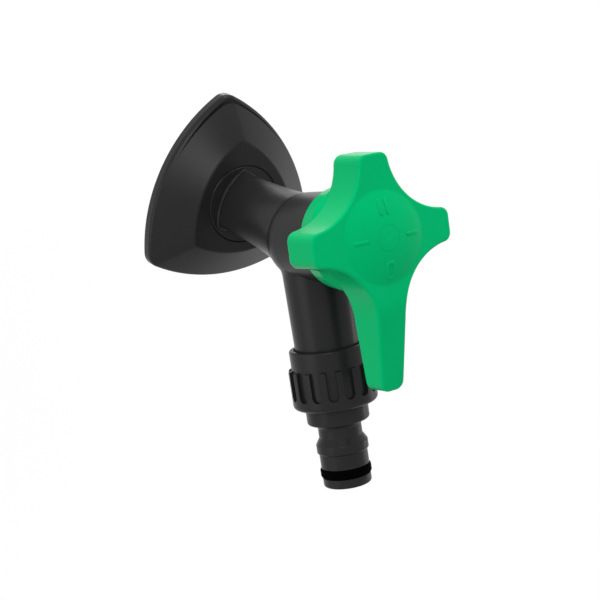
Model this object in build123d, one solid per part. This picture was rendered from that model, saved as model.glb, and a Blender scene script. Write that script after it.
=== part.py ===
from build123d import *
import os
from math import cos, radians, sin, sqrt, tan

# Bib tap with a lever handle and a hose spigot, in millimetres.
# X is to the right, Y goes into the wall and Z is up. The origin is on the inlet axis at the wall.
# Inlet, valve and spout axes meet at one point in front of the wall. The valve axis rises
# towards the user, and the spout leans forward by the same angle, square to the valve axis.

# Layout
REACH = 55.65                # wall to the meeting point of the three axes
TILT = 15.8                  # rise of the valve axis, and lean of the spout

# Clearances
LOOSE = 0.3                  # between pieces that only pass each other
SLIP = 0.05                  # radial gap of a turning or pushed fit
FILM = 0.03                  # water film between the two discs

# Wall plate
PLATE_WIDTH = 65.0
PLATE_CORNER = 5.2
PLATE_WALL = 2.4
RIM_HEIGHT = 3.6
RIM_ROUND = 1.6
LIP_WIDTH = 1.2              # edge left outside the groove
GROOVE_WIDTH = 1.0           # at the top corner, fading out down two sides
GROOVE_FADE = 0.58           # how far the edge faces up where the groove would end
GROOVE_FLOOR = 4.0
GROOVE_END = 14.0            # height at which its thin tips are cut off
PLATFORM_WIDTH = 39.7
PLATFORM_CORNER = 2.6
PLATFORM_HEIGHT = 13.5
PLATFORM_ROUND = 1.6
LEDGE_HEIGHT = 9.5           # seat of the body's disc in the plate
LEDGE_THICKNESS = 2.5
SEAT_BEVEL = 0.3             # on both edges of the round joint line
BOSS_WALL = 2.4
RIB_THICKNESS = 1.6

# Body, from the wall outwards
HUB_RADIUS = 10.9
DISC_RADIUS = 13.55
FLARE_WIDTH = 20.9
FLARE_CORNER = 0.9
FOOT_LIP = 0.8               # step round the foot of the flare
FOOT_HEIGHT = 1.1
FOOT_ROUND = 0.6
WAIST_RADIUS = 10.9
WAIST_AT = 26.0
BARREL_RADIUS = 13.9
BARREL_END = 53.0
HOUSING_RADIUS = 14.6        # valve housing and the ball behind it
HOUSING_FRONT = 21.8
SPOUT_RADIUS = 11.3
SPOUT_LIP_RADIUS = 10.8
SPOUT_SHOULDER = 36.6        # along the spout from the meeting point
SPOUT_END = 50.0
ELBOW_ROUND = 5.0            # hollow between the ball and the spout

# Waterways
INLET_BORE = 6.0             # radius
SPOUT_BORE = 7.0
SPOUT_BORE_START = 10.5
VALVE_BORE = 11.2
SEAT_AT = -3.0               # floor of the valve bore, along the valve axis

# Inlet tail, a pipe thread of half an inch
PIPE_THREAD = 10.4775        # radius
PIPE_LENGTH = 14.0
PIPE_CHAMFER = 1.2
HEX_FLATS = 22.0
HEX_THICKNESS = 3.0
TAIL_RADIUS = 8.4
TAIL_DEPTH = 8.0
INLET_SEAL_THICKNESS = 1.2

# Valve cartridge, along the valve axis
SEAT_SEAL_THICKNESS = 1.8
SEAT_SEAL_INNER = 7.0
SEAT_SEAL_OUTER = 9.4
DISC_SIZE = 8.8              # radius of both ceramic discs
DISC_THICKNESS = 3.2
PORT_RADIUS = 6.4
PORT_OFFSET = 0.9
NOTCH_HALF_WIDTH = 4.6
TONGUE_LENGTH = 10.6
TONGUE_WIDTH = 3.0
TONGUE_DEPTH = 1.5
TONGUE_AT = -3.4
FLANGE_RADIUS = 8.4
FLANGE_THICKNESS = 2.4
SLIP_WASHER_THICKNESS = 0.8
CARTRIDGE_WALL = 1.1
CARTRIDGE_THREAD_START = 10.5
CARTRIDGE_FLANGE = 2.6
CARTRIDGE_NECK_RADIUS = 7.0
CARTRIDGE_NECK = 2.4
WINDOW_WIDTH = 9.0
CARTRIDGE_RING_SECTION = 0.85
STEM_RADIUS = 5.0
STEM_RING_SECTION = 0.9
STEM_RINGS_AT = (13.2, 17.4)
CIRCLIP_THICKNESS = 0.9
CIRCLIP_OUTER = 6.6
CIRCLIP_DEPTH = 0.8
CIRCLIP_GAP = 3.0
SPLINE_RADIUS = 4.0
SPLINE_TEETH = 18
SPLINE_DEPTH = 0.45
SPLINE_LENGTH = 6.0

# Handle screw
SCREW_RADIUS = 2.0
SCREW_HEAD_RADIUS = 3.4
SCREW_HEAD = 2.4
SCREW_GRIP = 6.0             # length of thread in the spindle
SCREW_SOCKET_FLATS = 2.5
SCREW_SOCKET_DEPTH = 1.4

# Handle
HANDLE_FRONT = 40.6          # front of the arms, along the valve axis
HANDLE_LEAN = 1.2            # the arms lean towards the spout
HANDLE_THICKNESS = 14.2
HANDLE_DRAFT = 1.5
HANDLE_WALL = 2.8
LOBE_REACH = 25.4
LEVER_REACH = 47.9
LEVER_TIP_HALF_WIDTH = 3.9
LEVER_BEND = 21.0            # where the lever's front starts to fall back
LEVER_SLOPE = 11.2
LEVER_BEND_ROUND = 30.0
WAIST_CENTRE = 25.5          # centre of the hollow between two arms, in X and in Y
WAIST_ROUND = 20.3
ARM_CORNER = 2.8
DOME_HEIGHT = 2.7
DOME_RADIUS = 14.3
DOME_BLEND = 2.4             # hollow round at the foot of the dome
FRONT_ROUND = 0.8
BACK_ROUND = 1.4
SKIRT_BACK = 19.6
SKIRT_BACK_RADIUS = 16.3
SKIRT_RADIUS = 17.0
SKIRT_TOP = 25.6
SKIRT_BLEND = 6.0            # length over which the skirt narrows into the arms
SKIRT_OVERLAP = 2.6          # depth of the housing inside the skirt
HUB_WALL = 2.6
HANDLE_RIB = 1.8

# Screw cap at the middle of the handle
CAP_RADIUS = 3.9
CAP_THICKNESS = 1.4

# Hose connector, along the spout from the meeting point
CONNECTOR_TOP = 36.0
COLLAR_RADIUS = 12.9
LIP_ROUND = 0.6
KNURL_TOP = 42.5
KNURL_RADIUS = 14.1
KNURL_BOTTOM = 55.7
KNURL_ROUND = 1.6
SLOT_COUNT = 16
SLOT_WIDTH = 3.5
SLOT_BOTTOM = 52.3
SHOULDER_RADIUS = 10.4
SHOULDER_END = 61.4
NECK_RADIUS = 7.25
NECK_ROUND = 2.2             # hollow under the shoulder
RIDGE_AT = 68.6
RIDGE_RADIUS = 8.65
RIDGE_LENGTH = 2.6
RIDGE_FLANK = 2.3            # length of the cone above the ridge
RIDGE_ROUND = 0.4
SPIGOT_RADIUS = 8.05
RING_AT = 78.2
RING_WIDTH = 3.3
RING_DEPTH = 2.1
RING_OUTER = 8.5
RING_ROUND = 0.85
TIP_AT = 83.0
TIP_ROUND = 0.8
SPIGOT_BORE = 4.6
CONNECTOR_WASHER_THICKNESS = 2.0

# The three working frames, with local Z along the inlet, the valve and the spout
SINE = sin(radians(TILT))
COSINE = cos(radians(TILT))
MEETING = (0, -REACH, 0)
INLET = Plane((0, 0, 0), x_dir=(1, 0, 0), z_dir=(0, -1, 0)).location
VALVE = Plane(MEETING, x_dir=(1, 0, 0), z_dir=(0, -COSINE, SINE)).location
SPOUT = Plane(MEETING, x_dir=(1, 0, 0), z_dir=(0, -SINE, -COSINE)).location
LEANED = VALVE * Pos(0, 0, HANDLE_FRONT) * Rot(HANDLE_LEAN, 0, 0)

# Stations of the cartridge that follow from the sizes above
FIXED_AT = SEAT_AT + SEAT_SEAL_THICKNESS
MOVING_AT = FIXED_AT + DISC_THICKNESS + FILM
FLANGE_AT = MOVING_AT + DISC_THICKNESS + FILM
FLANGE_TOP = FLANGE_AT + FLANGE_THICKNESS
SHOULDER_AT = FLANGE_TOP + SLIP_WASHER_THICKNESS + 2 * SLIP
CARTRIDGE_TOP = HOUSING_FRONT + CARTRIDGE_FLANGE + CARTRIDGE_NECK
CIRCLIP_AT = CARTRIDGE_TOP + LOOSE
SPLINE_AT = CIRCLIP_AT + CIRCLIP_THICKNESS + LOOSE
SPLINE_END = SPLINE_AT + SPLINE_LENGTH
CAVITY_RADIUS = DISC_SIZE + 2 * SLIP
SCREW_SEAT = SPLINE_END + HUB_WALL
MIN_UP = (Align.CENTER, Align.CENTER, Align.MIN)
BACK_UP = (Align.CENTER, Align.MIN, Align.MIN)


def rod(radius, start, end):
    """Solid cylinder along local Z."""
    return Pos(0, 0, start) * Cylinder(radius, end - start, align=MIN_UP)


def ring(inner, outer, start, end):
    """Flat ring along local Z."""
    return rod(outer, start, end) - rod(inner, start, end)


def turned(points, rounds=None):
    """Solid of revolution about local Z from (radius, height) corners, rounded by their index."""
    section = make_face(Polyline(*points, close=True))
    for index, radius in (rounds or {}).items():
        corner = section.vertices().sort_by_distance(points[index])[0]
        section = fillet(corner, radius)
    return revolve(Plane.XZ * section, Axis.Z)


def o_ring(outer, section, at):
    """Rubber ring of round section, with its middle at a height along local Z."""
    return Pos(0, 0, at) * Torus(outer - section, section)


def hexagon(flats, start, end):
    """Hexagonal prism along local Z."""
    return Pos(0, 0, start) * extrude(RegularPolygon(flats / 2, 6, major_radius=False), end - start)


def three_cornered(width, corner, at):
    """Face of constant width with three rounded corners, one of them up, or fully rounded a circle."""
    core = width - 2 * corner
    tips = [Vector(0, core / sqrt(3)).rotate(Axis.Z, 120 * k) for k in range(3)]
    arcs = []
    for k in range(3):
        arcs.append(CenterArc(tips[k], corner, 60 + 120 * k, 60))
        arcs.append(CenterArc(tips[k - 1], core + corner, 120 + 120 * k, 60))
    return Pos(0, 0, at) * make_face(arcs)


def round_section(radius, at):
    """Circle cut into the same six arcs as a three-cornered face, for lofting."""
    return three_cornered(2 * radius, radius, at)


def plate_groove():
    """Groove inside the plate's edge: widest at the top corner, fading out down the two sides."""
    lip = three_cornered(PLATE_WIDTH - 2 * LIP_WIDTH, PLATE_CORNER - LIP_WIDTH, GROOVE_FLOOR)
    above = Pos(0, GROOVE_END + PLATE_WIDTH / 2, GROOVE_FLOOR) * Rectangle(PLATE_WIDTH, PLATE_WIDTH)
    drop = GROOVE_WIDTH / (cos(radians(30)) - GROOVE_FADE)
    spread = drop * GROOVE_FADE
    width = PLATE_WIDTH - 2 * LIP_WIDTH + 2 * spread
    inner = three_cornered(width, PLATE_CORNER - LIP_WIDTH + spread, GROOVE_FLOOR)
    return extrude((lip - Pos(0, -drop) * inner) & above, PLATFORM_HEIGHT)


def plate_outside():
    """Rounded rim with three sides that rise to a flat."""
    foot = three_cornered(PLATE_WIDTH, PLATE_CORNER, RIM_HEIGHT)
    flat = three_cornered(PLATFORM_WIDTH, PLATFORM_CORNER, PLATFORM_HEIGHT)
    shape = extrude(foot, -RIM_HEIGHT) + loft([foot, flat])
    rim = [edge for edge in shape.edges() if abs(edge.bounding_box().center().Z - RIM_HEIGHT) < SLIP]
    shape = fillet(rim, RIM_ROUND)
    return fillet(shape.faces().sort_by(Axis.Z)[-1].edges(), PLATFORM_ROUND)


def wall_plate():
    """Hollow plate with a seat for the body's disc on a ribbed boss."""
    outside = plate_outside()
    inset = 2 * PLATE_WALL
    mouth = three_cornered(PLATE_WIDTH - 2 * inset, PLATE_CORNER - PLATE_WALL, 0)
    ceiling = PLATFORM_HEIGHT - PLATE_WALL
    shell = outside - extrude(mouth, RIM_HEIGHT) - plate_groove()
    shell -= loft([
        Pos(0, 0, RIM_HEIGHT) * mouth,
        three_cornered(PLATFORM_WIDTH - PLATE_WALL, PLATFORM_CORNER, ceiling),
    ])

    seat = DISC_RADIUS + SLIP
    boss_foot = LEDGE_HEIGHT - LEDGE_THICKNESS
    boss = rod(seat + BOSS_WALL, boss_foot, PLATFORM_HEIGHT)
    rib_length = PLATE_WIDTH / 2 - inset
    for k in range(3):
        rib = Box(RIB_THICKNESS, rib_length, ceiling - boss_foot, align=MIN_UP)
        boss += Rot(0, 0, 120 * k) * Pos(0, seat + rib_length / 2, boss_foot) * rib
    shell += boss & outside
    bevel_foot = PLATFORM_HEIGHT - SEAT_BEVEL
    bevel = turned([
        (0, bevel_foot),
        (seat, bevel_foot),
        (seat + SEAT_BEVEL, PLATFORM_HEIGHT),
        (0, PLATFORM_HEIGHT),
    ])
    shell -= rod(seat, LEDGE_HEIGHT, PLATFORM_HEIGHT) + bevel
    return INLET * (shell - rod(HUB_RADIUS + LOOSE, 0, PLATFORM_HEIGHT))


def body_root():
    """Hub, disc and stepped foot of the body, along the inlet axis."""
    hub_start = HEX_THICKNESS + INLET_SEAL_THICKNESS
    disc = turned([
        (0, LEDGE_HEIGHT),
        (DISC_RADIUS, LEDGE_HEIGHT),
        (DISC_RADIUS, PLATFORM_HEIGHT - SEAT_BEVEL),
        (DISC_RADIUS - SEAT_BEVEL, PLATFORM_HEIGHT),
        (0, PLATFORM_HEIGHT),
    ])
    step = three_cornered(FLARE_WIDTH + 2 * FOOT_LIP, FLARE_CORNER + FOOT_LIP, PLATFORM_HEIGHT)
    foot = extrude(step, FOOT_HEIGHT)
    foot = fillet(foot.faces().sort_by(Axis.Z)[-1].edges(), FOOT_ROUND)
    return rod(HUB_RADIUS, hub_start, LEDGE_HEIGHT) + disc + foot


def spout():
    """Spout with a hollow round at its root, which runs into the ball just under the surface."""
    ball = HOUSING_RADIUS - SLIP
    stem = Polyline(
        (0, 0),
        (SPOUT_RADIUS, 0),
        (SPOUT_LIP_RADIUS, SPOUT_SHOULDER),
        (0, SPOUT_SHOULDER),
        close=True,
    )
    half_disc = Circle(ball) & Pos(ball, 0) * Rectangle(2 * ball, 4 * ball)
    section = half_disc + make_face(stem)
    corner = (SPOUT_RADIUS, sqrt(ball**2 - SPOUT_RADIUS**2))
    section = fillet(section.vertices().sort_by_distance(corner)[0], ELBOW_ROUND)
    below = Pos(ball, ball / 2 + SPOUT_SHOULDER / 2) * Rectangle(2 * ball, SPOUT_SHOULDER)
    return revolve(Plane.XZ * (section & below), Axis.Z)


def body_outside():
    """Root, three-cornered flare out of its foot, barrel, valve housing and spout as one solid."""
    barrel = loft([
        three_cornered(FLARE_WIDTH, FLARE_CORNER, PLATFORM_HEIGHT + FOOT_HEIGHT / 2),
        round_section(WAIST_RADIUS, WAIST_AT),
        round_section(BARREL_RADIUS, BARREL_END),
    ])
    housing = rod(HOUSING_RADIUS, 0, HOUSING_FRONT) + Sphere(HOUSING_RADIUS)
    return INLET * (body_root() + barrel) + VALVE * housing + SPOUT * spout()


def tap_body():
    """Body with the threaded spout end and the waterways."""
    body = body_outside()
    body += SPOUT * rod(PIPE_THREAD - SLIP, 0, SPOUT_END)
    socket_end = HEX_THICKNESS + INLET_SEAL_THICKNESS + TAIL_DEPTH
    body -= INLET * rod(TAIL_RADIUS + SLIP, 0, socket_end)
    body -= INLET * rod(INLET_BORE, 0, REACH)
    body -= VALVE * rod(VALVE_BORE, SEAT_AT, HOUSING_FRONT)
    ring_seat = HOUSING_FRONT - 2 * CARTRIDGE_RING_SECTION
    body -= VALVE * rod(VALVE_BORE + 2 * CARTRIDGE_RING_SECTION, ring_seat, HOUSING_FRONT)
    body -= SPOUT * rod(SPOUT_BORE, SPOUT_BORE_START, SPOUT_END)
    return body


def inlet_tail():
    """Brass tail: pipe thread behind the wall, hexagon, and the shank that screws into the body."""
    thread = rod(PIPE_THREAD, -PIPE_LENGTH, 0)
    thread = chamfer(thread.faces().sort_by(Axis.Z)[0].edges(), PIPE_CHAMFER)
    shank_end = HEX_THICKNESS + INLET_SEAL_THICKNESS + TAIL_DEPTH
    tail = thread + hexagon(HEX_FLATS, 0, HEX_THICKNESS) + rod(TAIL_RADIUS, HEX_THICKNESS, shank_end)
    return INLET * (tail - rod(INLET_BORE, -PIPE_LENGTH, shank_end))


def inlet_seal():
    """Flat ring between the hexagon and the body's hub."""
    end = HEX_THICKNESS + INLET_SEAL_THICKNESS
    return INLET * ring(TAIL_RADIUS + SLIP, HUB_RADIUS, HEX_THICKNESS, end)


def half_moon(radius, offset, height):
    """Prism of the part of a circle that lies below a line."""
    below = Pos(0, -offset - radius, 0) * Rectangle(4 * radius, 2 * radius)
    return extrude(Circle(radius) & below, height)


def cartridge_housing():
    """Brass shell: thin cage round the discs, thread, flange and neck, with two side windows."""
    cage = CAVITY_RADIUS + CARTRIDGE_WALL
    thread = VALVE_BORE - SLIP
    flange_top = HOUSING_FRONT + CARTRIDGE_FLANGE
    shell = rod(cage, FIXED_AT + DISC_THICKNESS / 2, CARTRIDGE_THREAD_START)
    shell += rod(thread, CARTRIDGE_THREAD_START, HOUSING_FRONT)
    shell += rod(VALVE_BORE + 2 * CARTRIDGE_RING_SECTION, HOUSING_FRONT, flange_top)
    shell += rod(CARTRIDGE_NECK_RADIUS, flange_top, CARTRIDGE_TOP)
    shell -= rod(CAVITY_RADIUS, FIXED_AT, SHOULDER_AT)
    shell -= rod(STEM_RADIUS + SLIP, SHOULDER_AT, CARTRIDGE_TOP)
    window = Box(WINDOW_WIDTH, 4 * cage, FLANGE_TOP - MOVING_AT, align=MIN_UP)
    return VALVE * (shell - Pos(0, 0, MOVING_AT) * window)


def cartridge_o_ring():
    """Ring under the cartridge's flange."""
    outer = VALVE_BORE + 2 * CARTRIDGE_RING_SECTION
    return VALVE * o_ring(outer, CARTRIDGE_RING_SECTION, HOUSING_FRONT - CARTRIDGE_RING_SECTION)


def seat_seal():
    """Rubber ring between the body's seat and the fixed disc."""
    return VALVE * ring(SEAT_SEAL_INNER, SEAT_SEAL_OUTER, SEAT_AT, FIXED_AT)


def fixed_disc():
    """Ceramic disc with a half-moon port on the spout's side."""
    disc = rod(DISC_SIZE, FIXED_AT, FIXED_AT + DISC_THICKNESS)
    port = Pos(0, 0, FIXED_AT) * half_moon(PORT_RADIUS, PORT_OFFSET, DISC_THICKNESS)
    return VALVE * (disc - port)


def tongue(clearance):
    """Driving tongue of the spindle, or with a clearance the slot for it in the moving disc."""
    base = FLANGE_AT - TONGUE_DEPTH - clearance
    length = TONGUE_LENGTH + 2 * clearance
    width = TONGUE_WIDTH + 2 * clearance
    return Pos(0, TONGUE_AT, base) * Box(length, width, FLANGE_AT - base, align=MIN_UP)


def moving_disc():
    """Ceramic disc with a notch that is away from the port when the tap is shut."""
    disc = rod(DISC_SIZE, MOVING_AT, MOVING_AT + DISC_THICKNESS)
    notch = Box(2 * NOTCH_HALF_WIDTH, 2 * DISC_SIZE, DISC_THICKNESS, align=BACK_UP)
    return VALVE * (disc - Pos(0, PORT_OFFSET, MOVING_AT) * notch - tongue(SLIP))


def spline(outer):
    """Splined cylinder: a round root with a ring of rounded teeth."""
    profile = Circle(outer - SPLINE_DEPTH)
    pitch = 2 * outer * sin(radians(180 / SPLINE_TEETH))
    for tooth in PolarLocations(outer - SPLINE_DEPTH, SPLINE_TEETH):
        profile += tooth * Rectangle(2 * SPLINE_DEPTH, pitch / 2)
    return profile


def spindle():
    """Brass spindle: tongue, flange, stem with two ring grooves, circlip groove and splined end."""
    shaft = tongue(0) + rod(FLANGE_RADIUS, FLANGE_AT, FLANGE_TOP)
    shaft += rod(STEM_RADIUS, FLANGE_TOP, SPLINE_AT)
    shaft += Pos(0, 0, SPLINE_AT) * extrude(spline(SPLINE_RADIUS), SPLINE_LENGTH)
    groove_root = STEM_RADIUS - 2 * STEM_RING_SECTION
    groove_half = STEM_RING_SECTION + SLIP
    for at in STEM_RINGS_AT:
        shaft -= ring(groove_root, STEM_RADIUS, at - groove_half, at + groove_half)
    clip_root = STEM_RADIUS - CIRCLIP_DEPTH
    shaft -= ring(clip_root, STEM_RADIUS, CIRCLIP_AT, CIRCLIP_AT + CIRCLIP_THICKNESS)
    shaft -= rod(SCREW_RADIUS + SLIP, SPLINE_END - SCREW_GRIP - LOOSE, SPLINE_END)
    return VALVE * shaft


def spindle_o_ring(at):
    """Ring in a groove of the stem."""
    return VALVE * o_ring(STEM_RADIUS, STEM_RING_SECTION, at)


def slip_washer():
    """Low-friction ring between the spindle's flange and the housing's shoulder."""
    start = FLANGE_TOP + SLIP
    return VALVE * ring(STEM_RADIUS + SLIP, FLANGE_RADIUS, start, start + SLIP_WASHER_THICKNESS)


def spindle_circlip():
    """Open spring ring in the groove in front of the housing's neck."""
    clip = ring(STEM_RADIUS - CIRCLIP_DEPTH, CIRCLIP_OUTER, CIRCLIP_AT, CIRCLIP_AT + CIRCLIP_THICKNESS)
    opening = Box(CIRCLIP_GAP, 2 * CIRCLIP_OUTER, CIRCLIP_THICKNESS, align=BACK_UP)
    return VALVE * (clip - Pos(0, 0, CIRCLIP_AT) * opening)


def arm_outline():
    """Front outline of the handle: three short arms and the long lever, with hollows between them."""
    inner = WAIST_CENTRE - WAIST_ROUND
    lobe_half = WAIST_CENTRE - sqrt(WAIST_ROUND**2 - (WAIST_CENTRE - LOBE_REACH)**2)
    halfway = WAIST_CENTRE - WAIST_ROUND / sqrt(2)
    upper = ThreePointArc((lobe_half, LOBE_REACH), (halfway, halfway), (LOBE_REACH, lobe_half))
    lower = ThreePointArc((LOBE_REACH, -lobe_half), (halfway, -halfway), (inner, -WAIST_CENTRE))
    tip = (LEVER_TIP_HALF_WIDTH, -LEVER_REACH)
    right = [
        Line((0, LOBE_REACH), upper @ 0),
        upper,
        Line(upper @ 1, lower @ 0),
        lower,
        Line(lower @ 1, tip),
        Line(tip, (0, -LEVER_REACH)),
        Line((0, -LEVER_REACH), (0, LOBE_REACH)),
    ]
    half = make_face(right)
    outline = half + mirror(half, Plane.YZ)
    ends = [upper @ 0, upper @ 1, lower @ 0, Vector(*tip)]
    corners = [v for v in outline.vertices() for e in ends if (Vector(abs(v.X), v.Y) - e).length < SLIP]
    return fillet(corners, ARM_CORNER)


def arms():
    """Drafted arms with a flat back, rounded edges and a lever whose front falls back towards its tip."""
    block = extrude(arm_outline(), -HANDLE_THICKNESS, taper=-HANDLE_DRAFT) - lever_cut()
    fronts = [face for face in block.faces() if face.normal_at().Z > cos(radians(2 * LEVER_SLOPE))]
    rims = [edge for face in fronts for edge in face.edges()]
    across = [edge for edge in rims if sum(edge.is_same(other) for other in rims) > 1]
    block = fillet([edge for edge in rims if not any(edge.is_same(other) for other in across)], FRONT_ROUND)
    return fillet(block.faces().sort_by(Axis.Z)[0].edges(), BACK_ROUND)


def lever_cut():
    """What is taken off the front of the lever: a slope that starts in a wide bend."""
    end = LEVER_REACH + HANDLE_THICKNESS
    fall = (end - LEVER_BEND) * tan(radians(LEVER_SLOPE))
    corners = [(0, 0), (-LEVER_BEND, 0), (-end, -fall), (-end, HANDLE_THICKNESS), (0, HANDLE_THICKNESS)]
    side = make_face(Polyline(*corners, close=True))
    side = fillet(side.vertices().sort_by_distance(corners[1])[0], LEVER_BEND_ROUND)
    return extrude(Plane.YZ * side, LOBE_REACH, both=True)


def dome():
    """Shallow round cap on the front of the handle, flowing into it through a hollow round."""
    ball = (DOME_RADIUS**2 + DOME_HEIGHT**2) / (2 * DOME_HEIGHT)
    right = Pos(ball, 0) * Rectangle(2 * ball, 2 * ball)
    cap = Pos(0, DOME_HEIGHT - ball) * Circle(ball) & right
    disc = Pos(WAIST_CENTRE / 2, -HANDLE_WALL / 4) * Rectangle(WAIST_CENTRE, HANDLE_WALL / 2)
    section = disc + (cap & Pos(0, ball) * Rectangle(4 * ball, 2 * ball))
    section = fillet(section.vertices().sort_by_distance((DOME_RADIUS, 0))[0], DOME_BLEND)
    foot = DOME_RADIUS + DOME_BLEND * DOME_RADIUS / ball / 2
    return revolve(Plane.XZ * section, Axis.Z) & rod(foot, -HANDLE_WALL / 2, DOME_HEIGHT)


def arm_pockets():
    """Open-backed hollows of the arms, which follow the slope of the lever."""
    hollow = extrude(offset(arm_outline(), -HANDLE_WALL), -HANDLE_THICKNESS)
    return Pos(0, 0, -HANDLE_WALL) * (hollow - lever_cut())


def skirt():
    """Round wall behind the arms that reaches over the valve housing, solid up to the front."""
    inside_front = HANDLE_FRONT - HANDLE_WALL / 2
    neck = SKIRT_BACK_RADIUS - HANDLE_WALL
    return turned([
        (0, SKIRT_BACK),
        (SKIRT_BACK_RADIUS, SKIRT_BACK),
        (SKIRT_RADIUS, SKIRT_TOP),
        (neck, SKIRT_TOP + SKIRT_BLEND),
        (neck, inside_front),
        (0, inside_front),
    ])


def well():
    """Hollow of the skirt, round the front of the valve housing."""
    step = SKIRT_BACK + SKIRT_OVERLAP
    mouth = HOUSING_RADIUS + LOOSE
    inner = SKIRT_BACK_RADIUS - HANDLE_WALL
    shoulder = SKIRT_TOP + SKIRT_BLEND - HANDLE_WALL
    front = HANDLE_FRONT - HANDLE_WALL
    return turned([
        (0, SKIRT_BACK),
        (mouth, SKIRT_BACK),
        (mouth, step),
        (inner, step),
        (inner, SKIRT_TOP),
        (inner - HANDLE_WALL, shoulder),
        (inner - HANDLE_WALL, front),
        (0, front),
    ])


def handle_hub():
    """Splined hub with four ribs to the arms."""
    top = HANDLE_FRONT - HANDLE_WALL / 2
    hub = rod(SPLINE_RADIUS + HUB_WALL, SPLINE_AT, top)
    for turn in (0, 90):
        rib = Box(2 * (LOBE_REACH - HANDLE_WALL), HANDLE_RIB, top - SPLINE_AT, align=MIN_UP)
        hub += Rot(0, 0, turn) * Pos(0, 0, SPLINE_AT) * rib
    return VALVE * hub


def handle_bores():
    """Splined socket, screw hole, head well and cap recess."""
    socket = Pos(0, 0, SPLINE_AT) * extrude(spline(SPLINE_RADIUS + SLIP), SPLINE_LENGTH + LOOSE)
    shank = rod(SCREW_RADIUS + LOOSE, SPLINE_AT, SCREW_SEAT)
    head = rod(SCREW_HEAD_RADIUS + LOOSE, SCREW_SEAT, HANDLE_FRONT + DOME_HEIGHT)
    recess = rod(CAP_RADIUS + SLIP, DOME_HEIGHT - CAP_THICKNESS, 2 * DOME_HEIGHT)
    return VALVE * (socket + shank + head), LEANED * recess


def handle():
    """Green handle: arms, dome, round skirt, hollow back and the hub on the spindle."""
    front = arms() + dome()
    outside = LEANED * front + VALVE * skirt()
    solid = LEANED * (front - arm_pockets()) + VALVE * skirt() - VALVE * well()
    solid += handle_hub() & outside
    bores, recess = handle_bores()
    return solid - bores - recess


def screw_cap():
    """Plain round cap over the screw, flush with the dome."""
    plug = dome() & rod(CAP_RADIUS, DOME_HEIGHT - CAP_THICKNESS, DOME_HEIGHT)
    return LEANED * plug


def handle_screw():
    """Socket-head screw that holds the handle on the spindle."""
    screw = rod(SCREW_RADIUS, SPLINE_END - SCREW_GRIP, SCREW_SEAT)
    head_top = SCREW_SEAT + SCREW_HEAD
    screw += rod(SCREW_HEAD_RADIUS, SCREW_SEAT, head_top)
    socket = hexagon(SCREW_SOCKET_FLATS, head_top - SCREW_SOCKET_DEPTH, head_top)
    return VALVE * (screw - socket)


def connector_slots():
    """Ring of upright slots, open at the top and round at the bottom, two of them beside the front."""
    foot = SLOT_BOTTOM - SLOT_WIDTH / 2
    outline = Pos(0, (KNURL_TOP + foot) / 2) * Rectangle(SLOT_WIDTH, foot - KNURL_TOP)
    outline += Pos(0, foot) * Circle(SLOT_WIDTH / 2)
    slot = extrude(Plane.XZ * outline, 2 * KNURL_RADIUS)
    return [Rot(0, 0, 360 / SLOT_COUNT * (k + 0.5)) * slot for k in range(SLOT_COUNT)]


def hose_connector():
    """Knurled collar and hose spigot in one moulding."""
    ring_half = RING_WIDTH / 2 + SLIP
    ring_root = RING_OUTER - RING_DEPTH
    ridge_end = RIDGE_AT + RIDGE_LENGTH
    outside = turned(
        [
            (0, CONNECTOR_TOP),
            (COLLAR_RADIUS, CONNECTOR_TOP),
            (COLLAR_RADIUS, KNURL_TOP),
            (KNURL_RADIUS, KNURL_TOP),
            (KNURL_RADIUS, KNURL_BOTTOM),
            (SHOULDER_RADIUS, KNURL_BOTTOM),
            (SHOULDER_RADIUS, SHOULDER_END),
            (NECK_RADIUS, SHOULDER_END),
            (NECK_RADIUS, RIDGE_AT - RIDGE_FLANK),
            (RIDGE_RADIUS, RIDGE_AT),
            (RIDGE_RADIUS, ridge_end),
            (SPIGOT_RADIUS, ridge_end + RIDGE_RADIUS - SPIGOT_RADIUS),
            (SPIGOT_RADIUS, RING_AT - ring_half),
            (ring_root, RING_AT - ring_half),
            (ring_root, RING_AT + ring_half),
            (SPIGOT_RADIUS, RING_AT + ring_half),
            (SPIGOT_RADIUS, TIP_AT),
            (0, TIP_AT),
        ],
        {
            1: LIP_ROUND,
            3: LIP_ROUND,
            4: KNURL_ROUND,
            6: TIP_ROUND,
            7: NECK_ROUND,
            9: RIDGE_ROUND,
            16: TIP_ROUND,
        },
    )
    floor = rod(COLLAR_RADIUS, CONNECTOR_TOP, KNURL_BOTTOM)
    for slot in connector_slots():
        outside -= slot - floor
    outside -= rod(PIPE_THREAD, CONNECTOR_TOP, SPOUT_END + CONNECTOR_WASHER_THICKNESS)
    outside -= rod(SPOUT_LIP_RADIUS + LIP_ROUND, CONNECTOR_TOP, SPOUT_SHOULDER + LOOSE)
    return SPOUT * (outside - rod(SPIGOT_BORE, SPOUT_END, TIP_AT))


def connector_washer():
    """Flat rubber washer against the end of the spout."""
    end = SPOUT_END + CONNECTOR_WASHER_THICKNESS
    return SPOUT * ring(SPOUT_BORE, PIPE_THREAD - SLIP, SPOUT_END, end)


def spigot_o_ring():
    """Rubber ring of flattened section in the spigot's groove."""
    inner = RING_OUTER - RING_DEPTH
    low = RING_AT - RING_WIDTH / 2
    high = RING_AT + RING_WIDTH / 2
    corners = [(inner, low), (RING_OUTER, low), (RING_OUTER, high), (inner, high)]
    return SPOUT * turned(corners, {1: RING_ROUND, 2: RING_ROUND})


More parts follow.
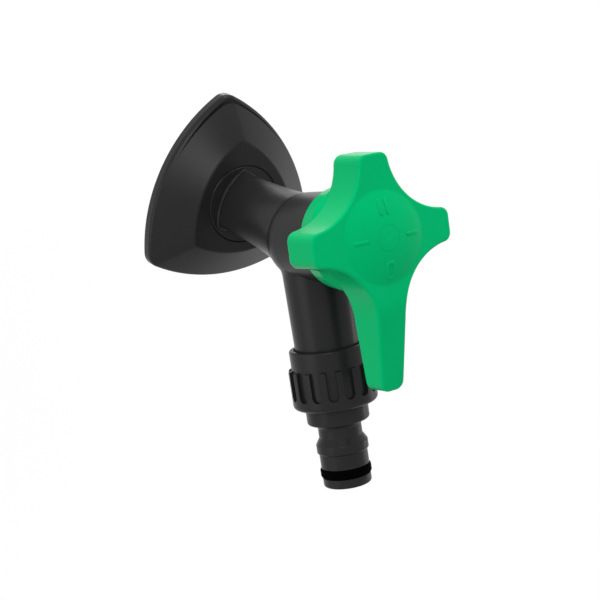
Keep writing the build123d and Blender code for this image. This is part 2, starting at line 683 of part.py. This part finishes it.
PARTS = {
    "wall_plate": wall_plate(),
    "tap_body": tap_body(),
    "inlet_tail": inlet_tail(),
    "inlet_seal": inlet_seal(),
    "cartridge_housing": cartridge_housing(),
    "cartridge_o_ring": cartridge_o_ring(),
    "seat_seal": seat_seal(),
    "fixed_disc": fixed_disc(),
    "moving_disc": moving_disc(),
    "spindle": spindle(),
    "spindle_o_ring_inner": spindle_o_ring(STEM_RINGS_AT[0]),
    "spindle_o_ring_outer": spindle_o_ring(STEM_RINGS_AT[1]),
    "slip_washer": slip_washer(),
    "spindle_circlip": spindle_circlip(),
    "handle": handle(),
    "handle_screw": handle_screw(),
    "screw_cap": screw_cap(),
    "hose_connector": hose_connector(),
    "connector_washer": connector_washer(),
    "spigot_o_ring": spigot_o_ring(),
}

os.makedirs("parts", exist_ok=True)
for name, solid in PARTS.items():
    export_step(solid, f"parts/{name}.step")
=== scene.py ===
from math import cos, pi, radians, sin, sqrt

import bmesh
import bpy
from mathutils import Matrix, Vector


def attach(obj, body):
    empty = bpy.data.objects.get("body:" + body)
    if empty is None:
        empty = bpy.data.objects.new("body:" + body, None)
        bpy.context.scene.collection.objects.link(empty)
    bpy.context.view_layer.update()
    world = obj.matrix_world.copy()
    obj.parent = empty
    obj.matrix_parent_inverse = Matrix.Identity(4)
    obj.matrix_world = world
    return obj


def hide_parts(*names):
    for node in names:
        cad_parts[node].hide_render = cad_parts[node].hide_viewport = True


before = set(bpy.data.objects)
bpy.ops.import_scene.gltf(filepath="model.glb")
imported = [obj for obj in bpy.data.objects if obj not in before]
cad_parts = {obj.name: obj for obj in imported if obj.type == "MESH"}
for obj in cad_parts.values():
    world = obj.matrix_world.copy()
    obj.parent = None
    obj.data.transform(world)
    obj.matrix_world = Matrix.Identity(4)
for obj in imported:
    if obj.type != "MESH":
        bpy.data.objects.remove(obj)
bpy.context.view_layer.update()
MM = 0.001

# Camera, fitted to the photograph's 600 by 600 frame
CAMERA_AZIMUTH = 33.34           # degrees to the left of straight on
CAMERA_ELEVATION = 21.62
CAMERA_DISTANCE = 460.92 * MM
CAMERA_TARGET = Vector((2.68, -45.0, -26.06)) * MM
FOCAL_PIXELS = 1362.08
SENSOR = 36.0
FRAME_PIXELS = 600

# Pipe thread of half an inch on the inlet tail, in millimetres
THREAD_RADIUS = 10.4775
THREAD_DEPTH = 1.162
THREAD_PITCH = 1.814
THREAD_LENGTH = 14.0
THREAD_CHAMFER = 1.2
THREAD_FLAT = 0.17               # share of half a pitch that is flat, at the crest and at the root
THREAD_ROWS = 124
TURN_STEPS = 120

# The rest of the inlet tail, in millimetres
INLET_BORE = 6.0
HEX_FLATS = 22.0
HEX_THICKNESS = 3.0
HEX_CHAMFER = 0.6
SHANK_RADIUS = 8.4
SHANK_END = 12.2

# The handle's front and dome, in millimetres, as the part's source has them
REACH = 55.65
TILT = radians(15.8)
HANDLE_LEAN = radians(1.2)
HANDLE_FRONT = 40.6
DOME_HEIGHT = 2.7
DOME_RADIUS = 14.3

# Raised marks on the dome, in millimetres
MARK_CIRCLE = 9.4
MARK_HALF_WIDTH = 0.56
MARK_LIFT = 0.3
MARK_EDGE = 0.18
MARK_ROOT = 0.3
MARK_END_STEPS = 12
FULL_BAR_PLACE = 1.2
FULL_BAR_HALF_LENGTH = 1.9
HALF_BAR_HALF_LENGTH = 2.0
SHUT_CIRCLE = 9.9
OVAL_RADIUS = 1.25
OVAL_HALF_STROKE = 0.5
OVAL_HALF_LENGTH = 1.15

# Finish of every surface
SHARP_ANGLE = radians(35)
BLOTCH_SCALE = 60.0
GLOSS_SPREAD = 0.04
GRAIN_DEPTH = 0.1 * MM

# Studio, with its lengths in metres
WORLD_LIGHT = 0.67
FLOOR_LEVEL = -0.32
FLOOR_HALF_SIZE = 4.0
FLOOR_GREY = 0.36
FLOOR_GLOW_NEAR = 0.59           # only where the floor is looked at: with the light on it, it reads white
FLOOR_GLOW_FAR = 0.73
FLOOR_POOL = (0.42, 1.5)         # distances from the tap at which the lamps' pool of light fades and ends
FLOOR_ROUGHNESS = 0.9
LIGHT_AIM = (0.0, -0.05, -0.02)


def new_object(name, builder, body):
    """Mesh object from a bmesh, shaded smooth with sharp edges kept, riding on a body."""
    mesh = bpy.data.meshes.new(name)
    builder.to_mesh(mesh)
    builder.free()
    for polygon in mesh.polygons:
        polygon.use_smooth = True
    mesh.set_sharp_from_angle(angle=SHARP_ANGLE)
    thing = bpy.data.objects.new(name, mesh)
    bpy.context.scene.collection.objects.link(thing)
    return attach(thing, body)


def skin(builder, rings, closed_rings=False):
    """Quads between neighbouring rings of points. The last ring joins the first if they close."""
    made = [[builder.verts.new(point) for point in ring] for ring in rings]
    pairs = list(zip(made, made[1:]))
    if closed_rings:
        pairs.append((made[-1], made[0]))
    for low, high in pairs:
        for k in range(len(low)):
            after = (k + 1) % len(low)
            builder.faces.new((low[k], low[after], high[after], high[k]))
    return made


def thread_radius(height, share):
    """Radius of the thread at a height and a share of a turn, in millimetres."""
    phase = (height / THREAD_PITCH - share) % 1.0
    rise = 1.0 - abs(2.0 * phase - 1.0)
    flank = min(1.0, max(0.0, (rise - THREAD_FLAT) / (1.0 - 2.0 * THREAD_FLAT)))
    lead_in = THREAD_RADIUS - THREAD_CHAMFER + max(0.0, THREAD_LENGTH - height)
    return min(THREAD_RADIUS - THREAD_DEPTH * (1.0 - flank), lead_in)


def hexagon_radius(share, limit):
    """Radius of the hexagon at a share of a turn, cut back to a limit at its chamfers."""
    from_flat = (90.0 - 360.0 * share) % 60.0 - 30.0
    return min(HEX_FLATS / 2 / cos(radians(from_flat)), limit)


def inlet_ring(height, radius_at):
    """Ring of points about the inlet axis. radius_at gives the radius at a share of a turn."""
    points = []
    for k in range(TURN_STEPS):
        share = k / TURN_STEPS
        angle = 2 * pi * share
        radius = radius_at(share)
        points.append(Vector((radius * sin(angle), height, radius * cos(angle))) * MM)
    return points


def inlet_tail():
    """Brass tail with a real helical thread, a chamfered hexagon and the shank in the body."""
    rings = [inlet_ring(THREAD_LENGTH, lambda share: INLET_BORE)]
    for row in range(THREAD_ROWS + 1):
        height = THREAD_LENGTH * (1 - row / THREAD_ROWS)
        rings.append(inlet_ring(height, lambda share: thread_radius(height, share)))
    corner = HEX_FLATS / 2 / cos(radians(30))
    hexagon = (
        (0, corner - HEX_CHAMFER),
        (-HEX_CHAMFER, corner),
        (HEX_CHAMFER - HEX_THICKNESS, corner),
        (-HEX_THICKNESS, corner - HEX_CHAMFER),
    )
    for height, limit in hexagon:
        rings.append(inlet_ring(height, lambda share: hexagon_radius(share, limit)))
    rings.append(inlet_ring(-HEX_THICKNESS, lambda share: SHANK_RADIUS))
    rings.append(inlet_ring(-SHANK_END, lambda share: SHANK_RADIUS))
    rings.append(inlet_ring(-SHANK_END, lambda share: INLET_BORE))
    builder = bmesh.new()
    skin(builder, rings, closed_rings=True)
    bmesh.ops.recalc_face_normals(builder, faces=builder.faces)
    tail = new_object("inlet_tail_threaded", builder, "tap")
    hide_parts("inlet_tail")
    return tail


def on_dome(x, y, lift):
    """Point of the shared frame at a lift above the dome. x runs across the handle's front, y up it."""
    outward = Vector((0, -cos(TILT), sin(TILT)))
    upward = Vector((0, sin(TILT), cos(TILT)))
    ball = (DOME_RADIUS**2 + DOME_HEIGHT**2) / (2 * DOME_HEIGHT)
    height = sqrt(ball**2 - x**2 - y**2) + DOME_HEIGHT - ball + lift
    middle = Vector((0, -REACH, 0)) + outward * HANDLE_FRONT
    front = outward * cos(HANDLE_LEAN) - upward * sin(HANDLE_LEAN)
    rise = upward * cos(HANDLE_LEAN) + outward * sin(HANDLE_LEAN)
    return (middle + Vector((x, 0, 0)) + rise * y + front * height) * MM


def capsule(centre, half_length, half_width, upright, lift):
    """Ring of points round a bar with round ends, laid on the dome."""
    points = []
    for k in range(2 * MARK_END_STEPS + 2):
        end = 1 if k <= MARK_END_STEPS else -1
        angle = pi * (k if end > 0 else k - 1) / MARK_END_STEPS
        along = end * half_length + half_width * sin(angle)
        across = half_width * cos(angle)
        x, y = (across, along) if upright else (along, -across)
        points.append(on_dome(centre[0] + x, centre[1] + y, lift))
    return points


def bar_mark(name, centre, half_length, upright):
    """Raised bar with a rounded top edge."""
    levels = (
        (MARK_HALF_WIDTH + MARK_EDGE / 2, -MARK_ROOT),
        (MARK_HALF_WIDTH, MARK_LIFT - MARK_EDGE),
        (MARK_HALF_WIDTH - MARK_EDGE / 3, MARK_LIFT - MARK_EDGE / 3),
        (MARK_HALF_WIDTH - MARK_EDGE, MARK_LIFT),
    )
    builder = bmesh.new()
    rings = skin(builder, [capsule(centre, half_length, wide, upright, lift) for wide, lift in levels])
    builder.faces.new(rings[-1])
    builder.faces.new(rings[0])
    bmesh.ops.recalc_face_normals(builder, faces=builder.faces)
    return new_object(name, builder, "turning_handle")


def oval_mark(name, centre, half_length):
    """Raised upright oval ring with bevelled edges, closed all round."""
    inner = OVAL_RADIUS - OVAL_HALF_STROKE
    outer = OVAL_RADIUS + OVAL_HALF_STROKE
    levels = (
        (inner, -MARK_ROOT),
        (inner, MARK_LIFT - MARK_EDGE),
        (inner + MARK_EDGE, MARK_LIFT),
        (outer - MARK_EDGE, MARK_LIFT),
        (outer, MARK_LIFT - MARK_EDGE),
        (outer, -MARK_ROOT),
    )
    builder = bmesh.new()
    rings = [capsule(centre, half_length, wide, True, lift) for wide, lift in levels]
    skin(builder, rings, closed_rings=True)
    bmesh.ops.recalc_face_normals(builder, faces=builder.faces)
    return new_object(name, builder, "turning_handle")


def node(tree, kind, **inputs):
    """Shader node with some of its inputs set or linked."""
    made = tree.nodes.new(kind)
    for name, value in inputs.items():
        socket = made.inputs[name.replace("_", " ")]
        if isinstance(value, bpy.types.NodeSocket):
            tree.links.new(value, socket)
        else:
            socket.default_value = value
    return made


def ramp(tree, factor, stops):
    """Colour ramp from two (place, colour) stops."""
    made = node(tree, "ShaderNodeValToRGB", Fac=factor)
    for element, stop in zip(made.color_ramp.elements, stops):
        element.position, element.color = stop
    return made.outputs["Color"]


def shade(colour, factor):
    """Colour made lighter or darker, with full alpha."""
    return (*[min(1.0, channel * factor) for channel in colour], 1.0)


def surface(name, colour, roughness, spread, grain, bump,
            metallic=0.0, specular=0.5, tint=(1, 1, 1), coat=0.0, stretch=(1, 1, 1)):
    """Moulded or machined finish: faint cloudy colour, uneven gloss and a fine grain in the surface."""
    material = bpy.data.materials.new(name)
    material.use_nodes = True
    tree = material.node_tree
    principled = tree.nodes["Principled BSDF"]
    place = node(tree, "ShaderNodeTexCoord").outputs["Object"]
    stretched = node(tree, "ShaderNodeMapping", Vector=place, Scale=stretch).outputs["Vector"]
    clouds = node(tree, "ShaderNodeTexNoise", Vector=place, Scale=BLOTCH_SCALE, Detail=4.0).outputs["Fac"]
    fine = node(tree, "ShaderNodeTexNoise", Vector=stretched, Scale=grain, Detail=3.0).outputs["Fac"]
    tone = ramp(tree, clouds, [(0.3, shade(colour, 1 - spread)), (0.7, shade(colour, 1 + spread))])
    tree.links.new(tone, principled.inputs["Base Color"])
    gloss = node(tree, "ShaderNodeMapRange", Value=clouds,
                 To_Min=roughness - GLOSS_SPREAD, To_Max=roughness + GLOSS_SPREAD)
    tree.links.new(gloss.outputs["Result"], principled.inputs["Roughness"])
    relief = node(tree, "ShaderNodeBump", Strength=bump, Distance=GRAIN_DEPTH, Height=fine)
    tree.links.new(relief.outputs["Normal"], principled.inputs["Normal"])
    principled.inputs["Metallic"].default_value = metallic
    principled.inputs["Specular IOR Level"].default_value = specular
    principled.inputs["Specular Tint"].default_value = (*tint, 1)
    principled.inputs["Coat Weight"].default_value = coat
    return material


def dress(material, *names):
    """The material on CAD nodes and pieces, in place of what they had."""
    for name in names:
        mesh = bpy.data.objects[name].data
        mesh.materials.clear()
        mesh.materials.append(material)


def area_light(name, place, size, power):
    """Soft box at a place, turned to the tap."""
    lamp = bpy.data.lights.new(name, "AREA")
    lamp.shape = "RECTANGLE"
    lamp.size, lamp.size_y = size
    lamp.energy = power
    thing = bpy.data.objects.new(name, lamp)
    thing.location = place
    thing.rotation_euler = (Vector(LIGHT_AIM) - Vector(place)).to_track_quat("-Z", "Y").to_euler()
    bpy.context.scene.collection.objects.link(thing)


def larger(tree, first, second):
    """The larger of two shader values."""
    made = node(tree, "ShaderNodeMath")
    made.operation = "MAXIMUM"
    tree.links.new(first, made.inputs[0])
    tree.links.new(second, made.inputs[1])
    return made.outputs[0]


def looked_at(tree):
    """1 for rays from the camera, and for those that a mirror or glass sends on."""
    path = node(tree, "ShaderNodeLightPath").outputs
    sent_on = larger(tree, path["Is Glossy Ray"], path["Is Transmission Ray"])
    return larger(tree, path["Is Camera Ray"], sent_on)


def white_world():
    """White to look at, and an even soft light for everything else."""
    world = bpy.data.worlds.new("studio")
    bpy.context.scene.world = world
    world.use_nodes = True
    tree = world.node_tree
    level = node(tree, "ShaderNodeMapRange", Value=looked_at(tree), To_Min=WORLD_LIGHT, To_Max=1.0)
    background = tree.nodes["Background"]
    background.inputs["Color"].default_value = (1, 1, 1, 1)
    tree.links.new(level.outputs["Result"], background.inputs["Strength"])


def pale_floor():
    """Wide pale floor well below the tap. It reads just white, so that the tap's faint shadow isn't lost."""
    builder = bmesh.new()
    level = Matrix.Translation((0, 0, FLOOR_LEVEL))
    bmesh.ops.create_grid(builder, x_segments=1, y_segments=1, size=FLOOR_HALF_SIZE, matrix=level)
    mesh = bpy.data.meshes.new("floor")
    builder.to_mesh(mesh)
    builder.free()
    floor = bpy.data.objects.new("floor", mesh)
    bpy.context.scene.collection.objects.link(floor)
    material = bpy.data.materials.new("floor_white")
    material.use_nodes = True
    tree = material.node_tree
    principled = tree.nodes["Principled BSDF"]
    principled.inputs["Base Color"].default_value = (FLOOR_GREY, FLOOR_GREY, FLOOR_GREY, 1)
    principled.inputs["Roughness"].default_value = FLOOR_ROUGHNESS
    principled.inputs["Emission Color"].default_value = (1, 1, 1, 1)
    place = node(tree, "ShaderNodeTexCoord").outputs["Object"]
    from_tap = node(tree, "ShaderNodeVectorMath", Vector=place)
    from_tap.operation = "LENGTH"
    full_glow = node(tree, "ShaderNodeMapRange", Value=from_tap.outputs["Value"],
                     From_Min=FLOOR_POOL[0], From_Max=FLOOR_POOL[1],
                     To_Min=FLOOR_GLOW_NEAR, To_Max=FLOOR_GLOW_FAR)
    full_glow.interpolation_type = "SMOOTHSTEP"
    glow = node(tree, "ShaderNodeMapRange", Value=looked_at(tree),
                To_Min=0.0, To_Max=full_glow.outputs["Result"])
    tree.links.new(glow.outputs["Result"], principled.inputs["Emission Strength"])
    mesh.materials.append(material)


def camera():
    """Camera at the photograph's place."""
    turn, lift = radians(CAMERA_AZIMUTH), radians(CAMERA_ELEVATION)
    back = Vector((-sin(turn) * cos(lift), -cos(turn) * cos(lift), sin(lift)))
    data = bpy.data.cameras.new("camera")
    data.sensor_width = SENSOR
    data.lens = FOCAL_PIXELS * SENSOR / FRAME_PIXELS
    data.clip_start, data.clip_end = 0.01, 50
    thing = bpy.data.objects.new("camera", data)
    thing.location = CAMERA_TARGET + back * CAMERA_DISTANCE
    thing.rotation_euler = (-back).to_track_quat("-Z", "Y").to_euler()
    bpy.context.scene.collection.objects.link(thing)
    bpy.context.scene.camera = thing


inlet_tail()
bar_mark("mark_full_left", (-FULL_BAR_PLACE, MARK_CIRCLE), FULL_BAR_HALF_LENGTH, True)
bar_mark("mark_full_right", (FULL_BAR_PLACE, MARK_CIRCLE), FULL_BAR_HALF_LENGTH, True)
bar_mark("mark_half_left", (-MARK_CIRCLE, 0), HALF_BAR_HALF_LENGTH, False)
bar_mark("mark_half_right", (MARK_CIRCLE, 0), HALF_BAR_HALF_LENGTH, False)
oval_mark("mark_shut", (0, -SHUT_CIRCLE), OVAL_HALF_LENGTH)

black = surface("black_plastic", (0.016, 0.0168, 0.0164), roughness=0.3,
                spread=0.1, grain=2600.0, bump=0.015, specular=0.13)
green = surface("green_plastic", (0.0, 0.47, 0.155), roughness=0.2,
                spread=0.025, grain=900.0, bump=0.006, specular=0.045, tint=(0.5, 1.0, 0.8))
rubber = surface("rubber", (0.0008, 0.0009, 0.0008), roughness=0.8,
                 spread=0.2, grain=1800.0, bump=0.05, specular=0.01)
brass = surface("brass", (0.75, 0.53, 0.22), roughness=0.26,
                spread=0.1, grain=700.0, bump=0.06, metallic=1.0, stretch=(1, 8, 1))
steel = surface("steel", (0.55, 0.55, 0.56), roughness=0.3,
                spread=0.08, grain=900.0, bump=0.05, metallic=1.0, stretch=(1, 6, 1))
ceramic = surface("ceramic", (0.82, 0.8, 0.76), roughness=0.2,
                  spread=0.03, grain=1200.0, bump=0.01, coat=0.3)
white = surface("white_plastic", (0.75, 0.75, 0.73), roughness=0.4,
                spread=0.03, grain=1500.0, bump=0.02)

dress(black, "wall_plate", "tap_body", "hose_connector")
dress(green, "handle", "screw_cap")
dress(green, "mark_full_left", "mark_full_right", "mark_half_left", "mark_half_right", "mark_shut")
dress(rubber, "inlet_seal", "cartridge_o_ring", "seat_seal", "spindle_o_ring_inner")
dress(rubber, "spindle_o_ring_outer", "connector_washer", "spigot_o_ring")
dress(brass, "inlet_tail_threaded", "inlet_tail", "cartridge_housing", "spindle")
dress(steel, "spindle_circlip", "handle_screw")
dress(ceramic, "fixed_disc", "moving_disc")
dress(white, "slip_washer")

white_world()
pale_floor()
area_light("top_box", (0.2, -0.1, 0.75), size=(0.4, 0.25), power=2.4)
area_light("right_strip", (0.85, -0.2, 0.0), size=(0.1, 0.6), power=0.7)
area_light("left_box", (-0.45, -0.6, 0.45), size=(0.22, 0.35), power=1.7)
area_light("left_fill", (-0.8, -0.05, 0.05), size=(0.5, 0.6), power=1.6)
area_light("back_box", (0.45, 0.65, 0.4), size=(0.4, 0.3), power=1.4)
camera()
bpy.context.scene.view_settings.view_transform = "Standard"
